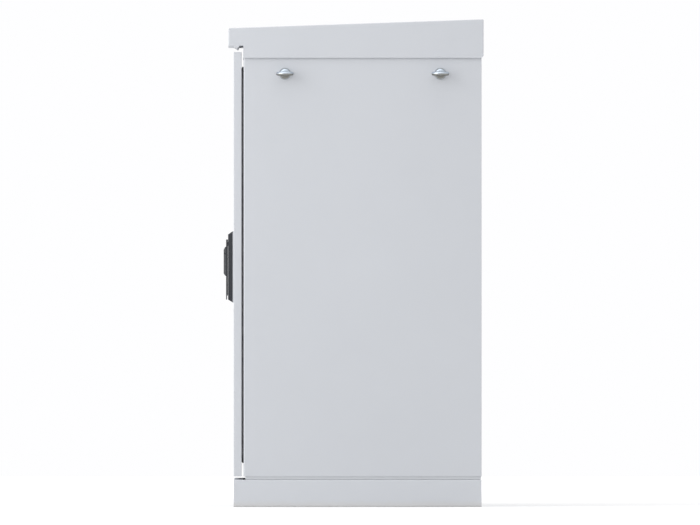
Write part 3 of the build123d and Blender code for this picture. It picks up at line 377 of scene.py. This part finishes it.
# %% Give each node its finish
finish_of_slot = {
    "powder_coat": panel_coat, "plinth_coat": plinth_coat, "frame_coat": frame_coat,
    "galvanised": galvanised, "zinc_plated": zinc_plated, "nickel_brass": lock_brass, "copper": copper,
    "handle_black": handle_plastic, "gland_plastic": gland_plastic, "seal_rubber": gasket_rubber,
}
slot_of_node = {part["node"]: part["material_slot"] for part in frame["record"]["subparts"]}


def finish(piece, material):
    """Gives a whole piece one finish."""
    piece.data.materials.clear()
    piece.data.materials.append(material)


for name, piece in nodes.items():
    finish(piece, finish_of_slot[slot_of_node[name]])
print("finished nodes:", len(nodes))

# %% [markdown]
# ## From a bmesh to a piece
# A few pieces need finer shapes than the CAD holds. Such a piece starts as a bmesh and is shaped by
# operators. It becomes an object at the origin that rides on the body of the node that it stands for, and
# hides that node. Smooth shading with a limit on the angle rounds curved faces and keeps flat ones flat.

# %% Make a piece from a bmesh
DOUBLES = 0.005 * MM


def new_piece(name, bm, node, material, smooth_degrees=35):
    """Turns a bmesh into a piece that stands for one CAD node."""
    bmesh.ops.remove_doubles(bm, verts=bm.verts, dist=DOUBLES)
    bmesh.ops.recalc_face_normals(bm, faces=bm.faces)
    mesh = bpy.data.meshes.new(name)
    bm.to_mesh(mesh)
    bm.free()
    piece = bpy.data.objects.new(name, mesh)
    bpy.context.scene.collection.objects.link(piece)
    mesh.shade_smooth()
    mesh.set_sharp_from_angle(angle=math.radians(smooth_degrees))
    finish(piece, material)
    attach(piece, nodes[node]["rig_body"])
    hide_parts(node)
    print(name, "faces:", len(mesh.polygons))
    return piece


# %% [markdown]
# ## A copy of a CAD node
# A CAD node's mesh is loose triangles, so its sharp edges can't be found until they are joined. The node
# itself stays as it is, and a copy is merged.

# %% Merge a copy of a node
CAD_DOUBLES = 0.002 * MM


def merged_copy(name):
    """A CAD node's mesh as a bmesh whose triangles share their corners."""
    bm = bmesh.new()
    bm.from_mesh(nodes[name].data)
    bmesh.ops.remove_doubles(bm, verts=bm.verts, dist=CAD_DOUBLES)
    return bm


lever = merged_copy("handle_lever")
print("corners of the lever, loose and merged:", len(nodes["handle_lever"].data.vertices), len(lever.verts))
lever.free()

# %% [markdown]
# ## Swing handle
# The dish, the lever and the cover of the lock cylinder are plastic mouldings, the gasket under them is
# sponge, and no edge of such a piece is sharp. They could be modelled again from scratch, but their CAD
# shapes are right. So copies get a small bevel on every edge that turns by more than 25 degrees, and the
# round edges catch the light along the handle.

# %% Swing handle with moulded edges
SAME_PLANE, SHARP_EDGE = 1, 25


def softened(name, node, material, radius_mm):
    """A copy of a CAD node whose sharp edges are rounded."""
    bm = merged_copy(node)
    bmesh.ops.dissolve_limit(bm, angle_limit=math.radians(SAME_PLANE), verts=bm.verts, edges=bm.edges)
    sharp = [
        edge for edge in bm.edges
        if len(edge.link_faces) == 2 and edge.calc_face_angle(0) > math.radians(SHARP_EDGE)
    ]
    bmesh.ops.bevel(
        bm, geom=sharp, affect="EDGES", offset=radius_mm * MM, segments=3, profile=0.5,
        material=-1, clamp_overlap=True,
    )
    return new_piece(name, bm, node, material)


softened("handle_dish_moulding", "handle_dish", handle_plastic, 0.4)
softened("handle_lever_moulding", "handle_lever", handle_plastic, 0.5)
softened("cylinder_cover_moulding", "cylinder_cover", handle_plastic, 0.5)
softened("handle_gasket_sponge", "handle_gasket", gasket_rubber, 0.5)

# %% [markdown]
# ## Lists from operators
# Operators hand back one list of everything that they made. The next step usually wants only the edges, to
# extrude them again, or only the vertices, to move them.

# %% Pick edges or vertices
def edges_in(geometry):
    """The edges in an operator's list."""
    return [item for item in geometry if isinstance(item, bmesh.types.BMEdge)]


def verts_in(geometry):
    """The vertices in an operator's list."""
    return [item for item in geometry if isinstance(item, bmesh.types.BMVert)]


def drawn_out(bm, edges, step):
    """Extrudes a ring of edges by a step and gives the new ring's edges and vertices."""
    made = bmesh.ops.extrude_edge_only(bm, edges=edges)["geom"]
    bmesh.ops.translate(bm, verts=verts_in(made), vec=step)
    return edges_in(made), verts_in(made)


def rim_of(circle):
    """The edges of a circle that was just made."""
    return list({edge for vertex in circle["verts"] for edge in vertex.link_edges})


trial = bmesh.new()
print("edges of a circle of eight sides:", len(rim_of(bmesh.ops.create_circle(trial, radius=1, segments=8))))
trial.free()

# %% [markdown]
# ## Door seal
# The seal is a bead of foam, laid by a robot in one closed loop on the door's inner rim. Its section is a
# dome that the frame's edge presses flat. A curve with a bevel could follow the loop, but it is hard to
# press flat on one side. So a circle is squeezed into the section, extruded along the straight runs and
# spun round the corners, and the whole bead is one tube with no seam.

# %% Door seal
seal_low, seal_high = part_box("door_seal")
SEAL_WIDTH, SEAL_CORNER = 14 * MM, 26 * MM
SEAL_FLAT = 0.72
SECTION_SIDES, CORNER_STEPS = 28, 8


def foam_bead():
    """The seal's bead as one closed tube round the door."""
    bm = bmesh.new()
    middle_y = (seal_low.y + seal_high.y) / 2
    half_depth = (seal_high.y - seal_low.y) / 2
    inset = SEAL_WIDTH / 2 + SEAL_CORNER
    left, right = seal_low.x + inset, seal_high.x - inset
    bottom, top = seal_low.z + inset, seal_high.z - inset
    start = Vector((left, middle_y, seal_low.z + SEAL_WIDTH / 2))
    squeezed = Matrix.Diagonal((1, half_depth, SEAL_WIDTH / 2, 1))
    section = Matrix.Translation(start) @ squeezed @ Matrix.Rotation(math.pi / 2, 4, "Y")
    circle = bmesh.ops.create_circle(bm, radius=1, segments=SECTION_SIDES, cap_ends=False, matrix=section)
    for vertex in circle["verts"]:
        vertex.co.y = min(vertex.co.y, middle_y + SEAL_FLAT * half_depth)
    loop = rim_of(circle)
    runs = [
        ((right - left, 0, 0), (right, bottom)), ((0, 0, top - bottom), (right, top)),
        ((left - right, 0, 0), (left, top)), ((0, 0, bottom - top), (left, bottom)),
    ]
    for step, (corner_x, corner_z) in runs:
        loop, _ = drawn_out(bm, loop, Vector(step))
        turned = bmesh.ops.spin(
            bm, geom=loop, cent=(corner_x, middle_y, corner_z), axis=(0, -1, 0),
            angle=math.pi / 2, steps=CORNER_STEPS, use_duplicate=False,
        )
        loop = edges_in(turned["geom_last"])
    return bm


new_piece("door_seal_bead", foam_bead(), "door_seal", seal_foam)

# %% [markdown]
# ## One lifting eye
# Each eye is drop forged: a ring, a neck and a collar. The ring is a circle spun round a vertical axis, and
# the shank with its collar is an outline spun round its own axis. The two are left crossing each other,
# because the next step joins them.

# %% One lifting eye
eye_low, eye_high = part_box("eye_bolts")
eye_z = (eye_low.z + eye_high.z) / 2
EYE_RING, EYE_BAR, COLLAR_FROM_TIP = 27 * MM, 6 * MM, 53 * MM
BAR_SIDES, RING_STEPS, SHANK_STEPS = 24, 64, 40
ring_x = eye_high.x - EYE_RING
collar_x = eye_high.x - COLLAR_FROM_TIP
eye_sides = (eye_low.y + EYE_RING, eye_high.y - EYE_RING)

# The shank's outline in millimetres: the distance outwards from the collar's seat, and the radius.
SHANK = [
    (-20.5, 0), (-20.5, 5.2), (-19.7, 6), (0, 6), (0, 15), (3.2, 15),
    (4, 14.2), (6.5, 9.8), (9.5, 8), (12, 7), (12, 0),
]


def rough_eye(y):
    """A lifting eye on the right side, as a ring and a shank that cross."""
    bm = bmesh.new()
    bar_middle = Matrix.Translation((ring_x + EYE_RING - EYE_BAR, y, eye_z))
    bar = bar_middle @ Matrix.Rotation(math.pi / 2, 4, "X")
    circle = bmesh.ops.create_circle(bm, radius=EYE_BAR, segments=BAR_SIDES, cap_ends=False, matrix=bar)
    bmesh.ops.spin(
        bm, geom=rim_of(circle), cent=(ring_x, y, eye_z), axis=(0, 0, 1), angle=2 * math.pi,
        steps=RING_STEPS, use_merge=True,
    )
    points = [bm.verts.new((collar_x + x * MM, y, eye_z + r * MM)) for x, r in SHANK]
    outline = [bm.edges.new(pair) for pair in zip(points, points[1:])]
    bmesh.ops.spin(
        bm, geom=outline, cent=(0, y, eye_z), axis=(1, 0, 0), angle=2 * math.pi,
        steps=SHANK_STEPS, use_merge=True,
    )
    bmesh.ops.remove_doubles(bm, verts=bm.verts, dist=2 * DOUBLES)
    bmesh.ops.recalc_face_normals(bm, faces=bm.faces)
    return bm


print("eyes at y in mm:", [round(y / MM) for y in eye_sides], "and z:", round(eye_z / MM))

# %% [markdown]
# ## Forged fillets
# In a forging, ring, neck and collar flow into each other. A boolean union would leave sharp creases where
# they meet. A voxel remesh joins them into one skin, and a few rounds of smoothing make the fillets.

# %% Join and smooth
FORGING_VOXEL, SMOOTH_ROUNDS = 0.9 * MM, 4


def flowing(bm):
    """Joins the rough parts of a forging into one skin and rounds the corners between them."""
    mesh = bpy.data.meshes.new("rough_forging")
    bm.to_mesh(mesh)
    bm.free()
    rough = bpy.data.objects.new("rough_forging", mesh)
    bpy.context.scene.collection.objects.link(rough)
    remesh = rough.modifiers.new("skin", "REMESH")
    remesh.mode, remesh.voxel_size = "VOXEL", FORGING_VOXEL
    skin = bpy.data.meshes.new_from_object(rough.evaluated_get(bpy.context.evaluated_depsgraph_get()))
    bpy.data.objects.remove(rough)
    smooth = bmesh.new()
    smooth.from_mesh(skin)
    for _ in range(SMOOTH_ROUNDS):
        bmesh.ops.smooth_vert(
            smooth, verts=smooth.verts, factor=0.5, use_axis_x=True, use_axis_y=True, use_axis_z=True
        )
    smooth.to_mesh(skin)
    smooth.free()
    return skin


def all_eyes():
    """Four eyes: two on the right side and their mirror images on the left."""
    eyes = bmesh.new()
    for y in eye_sides:
        eyes.from_mesh(flowing(rough_eye(y)))
    right_side = list(eyes.verts) + list(eyes.edges) + list(eyes.faces)
    bmesh.ops.mirror(eyes, geom=right_side, axis="X", merge_dist=0)
    return eyes


new_piece("lifting_eyes_forged", all_eyes(), "eye_bolts", zinc_plated, smooth_degrees=60)

# %% [markdown]
# ## Places of the rear panel screws
# Ten countersunk screws hold the rear panel. Their places could be typed in again, but the CAD node has them
# already, as ten separate solids. Walking from vertex to vertex along edges finds one solid at a time.

# %% Find the solids of a node
def middles(name):
    """The middle of each separate solid of a CAD node."""
    bm = merged_copy(name)
    found, left = [], set(bm.verts)
    while left:
        solid, front = set(), [left.pop()]
        while front:
            vertex = front.pop()
            solid.add(vertex)
            near = {edge.other_vert(vertex) for edge in vertex.link_edges} & left
            left -= near
            front += near
        low = Vector(min(v.co[i] for v in solid) for i in range(3))
        high = Vector(max(v.co[i] for v in solid) for i in range(3))
        found.append((low + high) / 2)
    bm.free()
    return found


screw_low, screw_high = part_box("rear_panel_screws")
screw_spots = [(spot.x, spot.z) for spot in middles("rear_panel_screws")]
print("rear panel screws:", len(screw_spots))

# %% [markdown]
# ## Rear panel screws
# A hexagonal socket is what makes a small bright disc read as a screw. A circle for the head is bridged to
# a hexagon, which is extruded inwards for the socket. The head's edge is extruded twice and drawn in once,
# for the cone and for the shank. The hexagon gets as many edges as the circle, so that the bridge is even.

# %% Screws with a hexagonal socket
HEAD, CONE_DEPTH, SHANK_RADIUS = 5.5 * MM, 2 * MM, 3 * MM
SOCKET, SOCKET_DEPTH, SOCKET_CUTS = 2.3 * MM, 1.6 * MM, 3


def closed_off(bm, edges):
    """Fills a ring of edges with triangles round its middle."""
    bmesh.ops.poke(bm, faces=bmesh.ops.edgenet_fill(bm, edges=edges)["faces"])


def one_screw(bm):
    """A countersunk screw whose head's middle is at the origin."""
    facing_rear = Matrix.Rotation(math.pi / 2, 4, "X")
    bmesh.ops.create_circle(bm, radius=SOCKET, segments=6, matrix=facing_rear)
    bmesh.ops.subdivide_edges(bm, edges=bm.edges, cuts=SOCKET_CUTS)
    hexagon = list(bm.edges)
    bmesh.ops.create_circle(bm, radius=HEAD, segments=len(hexagon), matrix=facing_rear)
    rim = [edge for edge in bm.edges if edge not in hexagon]
    bmesh.ops.bridge_loops(bm, edges=rim + hexagon)
    floor, _ = drawn_out(bm, hexagon, Vector((0, -SOCKET_DEPTH, 0)))
    closed_off(bm, floor)
    neck, verts = drawn_out(bm, rim, Vector((0, -CONE_DEPTH, 0)))
    bmesh.ops.scale(bm, verts=verts, vec=(SHANK_RADIUS / HEAD, 1, SHANK_RADIUS / HEAD))
    tip, _ = drawn_out(bm, neck, Vector((0, screw_low.y - screw_high.y + CONE_DEPTH, 0)))
    closed_off(bm, tip)


def socket_screws(spots):
    """Copies of one screw whose heads lie flush with the rear panel."""
    bm = bmesh.new()
    one_screw(bm)
    first = list(bm.verts) + list(bm.edges) + list(bm.faces)
    for x, z in spots:
        copy = bmesh.ops.duplicate(bm, geom=first)["geom"]
        bmesh.ops.translate(bm, verts=verts_in(copy), vec=Vector((x, screw_high.y, z)))
    bmesh.ops.delete(bm, geom=verts_in(first), context="VERTS")
    return bm


new_piece("rear_panel_screws_socket", socket_screws(screw_spots), "rear_panel_screws", zinc_plated, 30)

# %% [markdown]
# ## White background without more light
# The photograph is cut out on white. More light would make the background white but bleach the cabinet too.
# Light Path tells the rays that see the background from the rays that light the object, so each kind gets
# its own strength.

# %% Rays that see the background
def background_rays(tree, others, background):
    """A value for the rays that see the background, and another for the rays that light the object."""
    rays = add(tree, "LightPath").outputs
    seen = add(tree, "Math", {0: rays["Is Camera Ray"], 1: rays["Is Glossy Ray"]}, operation="MAXIMUM")
    seen = add(tree, "Math", {0: seen.outputs[0], 1: rays["Is Transmission Ray"]}, operation="MAXIMUM")
    strength = add(tree, "MapRange", {"Value": seen.outputs[0], "To Min": others, "To Max": background})
    return strength.outputs[0]


# %% [markdown]
# ## Floor
# The floor is a matt pale sheet that takes the cabinet's shadow. A part of its white is a glow that only the
# background's rays see. Near the cabinet the glow is weak and the shadow shows, and it grows towards the
# floor's edge, where the floor has to meet the white world without a line.

# %% Floor
FLOOR_HALF = 10
SHADOW_ZONE, WHITE_ZONE = 1.5, 7
NEAR_GLOW, FAR_GLOW = 0.26, 0.8


def pale_floor(name):
    """Matt pale floor with a glow that grows outwards."""
    material = bpy.data.materials.new(name)
    material.use_nodes = True
    tree = material.node_tree
    tree.nodes.clear()
    matt = add(tree, "BsdfDiffuse", {"Color": linear("#DDDDDD")})
    place = add(tree, "TexCoord").outputs["Object"]
    away = add(tree, "VectorMath", {0: place}, operation="LENGTH").outputs["Value"]
    glow = add(tree, "MapRange", {
        "Value": away, "From Min": SHADOW_ZONE, "From Max": WHITE_ZONE,
        "To Min": NEAR_GLOW, "To Max": FAR_GLOW,
    })
    seen = add(tree, "Math", {0: background_rays(tree, 0, 1), 1: glow.outputs[0]}, operation="MULTIPLY")
    white = add(tree, "Emission", {"Color": (1, 1, 1, 1), "Strength": seen.outputs[0]})
    both = add(tree, "AddShader", {0: matt.outputs[0], 1: white.outputs[0]})
    add(tree, "OutputMaterial", {"Surface": both.outputs[0]})
    return material


bm = bmesh.new()
bmesh.ops.create_grid(bm, x_segments=1, y_segments=1, size=FLOOR_HALF)
floor_mesh = bpy.data.meshes.new("floor")
bm.to_mesh(floor_mesh)
bm.free()
floor = bpy.data.objects.new("floor", floor_mesh)
bpy.context.scene.collection.objects.link(floor)
finish(floor, pale_floor("pale_floor"))
print("floor is", 2 * FLOOR_HALF, "m wide")

# %% [markdown]
# ## World
# The world is the even light of a white studio. It lights the object at a plain level, and the background's
# rays see it as white.

# %% World
WORLD_LIGHT, WORLD_WHITE = 0.69, 1.0
world = bpy.data.worlds.new("studio")
bpy.context.scene.world = world
world.use_nodes = True
world.node_tree.nodes.clear()
sky = add(world.node_tree, "Background", {
    "Color": linear("#FEFEFF"), "Strength": background_rays(world.node_tree, WORLD_LIGHT, WORLD_WHITE),
})
add(world.node_tree, "OutputWorld", {"Surface": sky.outputs[0]})
print("world:", world.name)

# %% [markdown]
# ## Lamps
# Three large soft boxes shape the cabinet: a key light in front, a fill behind on the left and a weak one
# overhead. They are 6 m across, so that highlights on the zinc eyes are broad and don't burn out.

# %% Lamps
LAMP_SIZE = 6
lamp_aim = Vector((0, 0, 0.8))


def soft_lamp(name, place, watts):
    """A square soft box that points at the middle of the cabinet."""
    lamp = bpy.data.lights.new(name, "AREA")
    lamp.energy, lamp.size = watts, LAMP_SIZE
    holder = bpy.data.objects.new(name, lamp)
    bpy.context.scene.collection.objects.link(holder)
    holder.location = place
    holder.rotation_euler = (lamp_aim - holder.location).to_track_quat("-Z", "Y").to_euler()
    holder.visible_camera = False
    print(name, "watts:", watts)


soft_lamp("key_front", (3.2, -5.4, 2.4), 280)
soft_lamp("fill_rear_left", (-4.6, 4.2, 2.6), 200)
soft_lamp("overhead", (0.9, -0.8, 6.0), 90)

# %% [markdown]
# ## Camera
# The photograph looks straight at the right side with almost no perspective, so the camera stands far away
# behind a very long lens. The photograph is 700 pixels wide and a pixel is 3.025 mm on the side panel, which
# gives the distance. Seen from this height and this side, light still comes through the gaps above, below
# and behind the door.

# %% Camera
PHOTO_WIDTH_PIXELS, PIXEL = 700, 3.025 * MM
LENS, SENSOR, SEES_TO = 1200, 36, 300
SIDE_X, EYE_Y, EYE_LEVEL = 375 * MM, -348 * MM, 700 * MM
photo_middle = Vector((SIDE_X, -23.1 * MM, 739.1 * MM))
distance = PHOTO_WIDTH_PIXELS * PIXEL * LENS / SENSOR
camera = bpy.data.cameras.new("photo_camera")
camera.lens, camera.sensor_width, camera.clip_end = LENS, SENSOR, SEES_TO
stand = bpy.data.objects.new("photo_camera", camera)
bpy.context.scene.collection.objects.link(stand)
stand.location = (SIDE_X + distance, EYE_Y, EYE_LEVEL)
stand.rotation_euler = (photo_middle - stand.location).to_track_quat("-Z", "Y").to_euler()
bpy.context.scene.camera = stand
bpy.context.scene.view_settings.view_transform = "Standard"
print("camera at", [round(v, 2) for v in stand.location])
